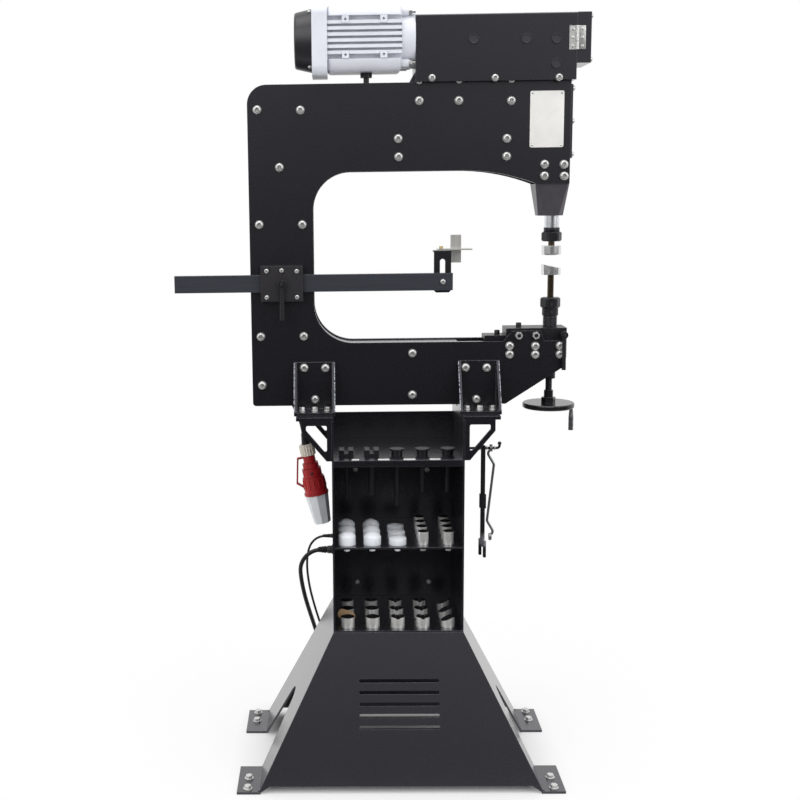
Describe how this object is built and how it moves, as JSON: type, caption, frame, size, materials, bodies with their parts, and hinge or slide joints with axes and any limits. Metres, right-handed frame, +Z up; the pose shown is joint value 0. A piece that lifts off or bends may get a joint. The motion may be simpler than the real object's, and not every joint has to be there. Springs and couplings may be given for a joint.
{
  "type": "power hammer for sheet metal",
  "caption": "Floor-standing sheet-metal power hammer: deep C-frame with motor-driven ram, screw-raised anvil, sliding guide arm and flared stand with die rack.",
  "frame": {"origin": "on the floor, at the centre of the eight anchor holes in the feet, in the middle plane of the frame", "axes": "+X along the throat towards the dies, +Y to the rear, +Z up"},
  "size_m": [0.9545, 0.5252, 1.809],
  "materials": {
    "black_powder_coat": "fine textured black powder coat",
    "black_oxide_steel": "black oxide machined steel",
    "polished_steel": "polished hardened steel",
    "zinc_plate": "bright zinc plate",
    "motor_aluminium": "pale grey painted aluminium casting",
    "fan_cover_black": "dark grey moulded plastic",
    "black_plastic": "black nylon",
    "ivory_plastic": "ivory moulded plastic",
    "red_plastic": "red moulded plastic",
    "grey_plastic": "light grey moulded plastic",
    "white_nylon": "white nylon",
    "cable_rubber": "black rubber cable sheath"
  },
  "bodies": {
    "stand": {"base_front_plate": "black_powder_coat", "base_rear_plate": "black_powder_coat", "base_left_side": "black_powder_coat", "base_right_side": "black_powder_coat", "base_shelf": "black_powder_coat", "column_left_panel": "black_powder_coat", "column_right_panel": "black_powder_coat", "column_back_panel": "black_powder_coat", "middle_shelf": "black_powder_coat", "tool_rack": "black_powder_coat", "left_wing": "black_powder_coat", "right_wing": "black_powder_coat", "frame_brackets": "black_powder_coat", "frame_front_plate": "black_powder_coat", "frame_rear_plate": "black_powder_coat", "throat_strip": "black_powder_coat", "back_strip": "black_powder_coat", "nose_cover": "black_powder_coat", "drive_housing": "black_powder_coat", "hinge_leaf": "zinc_plate", "motor_body": "motor_aluminium", "motor_rear_ring": "motor_aluminium", "motor_end_bell": "motor_aluminium", "motor_fan_cover": "fan_cover_black", "motor_conduit": "black_plastic", "ram_guide": "black_oxide_steel", "anvil_block": "black_oxide_steel", "screw_nut_housing": "black_oxide_steel", "arm_clamp": "black_powder_coat", "electrical_box": "black_powder_coat", "cable_glands": "black_plastic", "plug_gland": "black_plastic", "plug_nut": "ivory_plastic", "plug_body": "red_plastic", "plug_cap": "grey_plastic", "power_lead": "cable_rubber", "control_lead": "cable_rubber", "plug_lead": "cable_rubber", "tool_hook": "black_powder_coat", "fork_spanner": "black_oxide_steel", "ring_spanner": "polished_steel", "rack_tools": "black_oxide_steel", "nylon_dies": "white_nylon", "shelf_dies": "polished_steel", "base_dies": "polished_steel"},
    "end_door": {"end_door": "black_powder_coat"},
    "ram": {"ram": "polished_steel", "upper_collet_nut": "black_oxide_steel", "upper_die": "polished_steel"},
    "anvil": {"anvil_post": "black_oxide_steel", "lower_collet_nut": "black_oxide_steel", "lower_die": "polished_steel"},
    "handwheel": {"handwheel": "black_oxide_steel", "crank_grip": "zinc_plate"},
    "anvil_lock": {"anvil_lock_lever": "black_oxide_steel"},
    "guide_arm": {"guide_arm": "black_powder_coat"},
    "arm_lock": {"arm_lock_lever": "black_oxide_steel"},
    "work_stop": {"stop_bracket": "black_powder_coat", "stop_vanes": "zinc_plate"}
  },
  "joints": [
    {"name": "ram_slide", "type": "slide", "parent": "stand", "child": "ram", "axis": [0, 0, -1], "range_m": [0, 0.012]},
    {"name": "handwheel_turn", "type": "hinge", "parent": "stand", "child": "handwheel", "pos_m": [0.367, 0, 0.88], "axis": [0, 0, 1], "range_deg": [-288, 1440]},
    {"name": "anvil_lift", "type": "slide", "parent": "stand", "child": "anvil", "axis": [0, 0, -1], "range_m": [-0.004, 0.02]},
    {"name": "anvil_lock_turn", "type": "hinge", "parent": "stand", "child": "anvil_lock", "pos_m": [0.392, -0.052, 1.056], "axis": [0, -1, 0], "range_deg": [-30, 60]},
    {"name": "arm_slide", "type": "slide", "parent": "stand", "child": "guide_arm", "axis": [1, 0, 0], "range_m": [-0.24, 0.15]},
    {"name": "arm_lock_turn", "type": "hinge", "parent": "stand", "child": "arm_lock", "pos_m": [-0.266, -0.08, 1.184], "axis": [0, -1, 0], "range_deg": [-60, 60]},
    {"name": "stop_slide", "type": "slide", "parent": "guide_arm", "child": "work_stop", "axis": [0, 0, -1], "range_m": [0, 0.045]},
    {"name": "door_swing", "type": "hinge", "parent": "stand", "child": "end_door", "pos_m": [0.40625, -0.0615, 1.7275], "axis": [0, 0, -1], "range_deg": [0, 115]}
  ],
  "couplings": [
    {"joint": "anvil_lift", "follows": "handwheel_turn", "m_per_rad": 0.00079577}
  ]
}
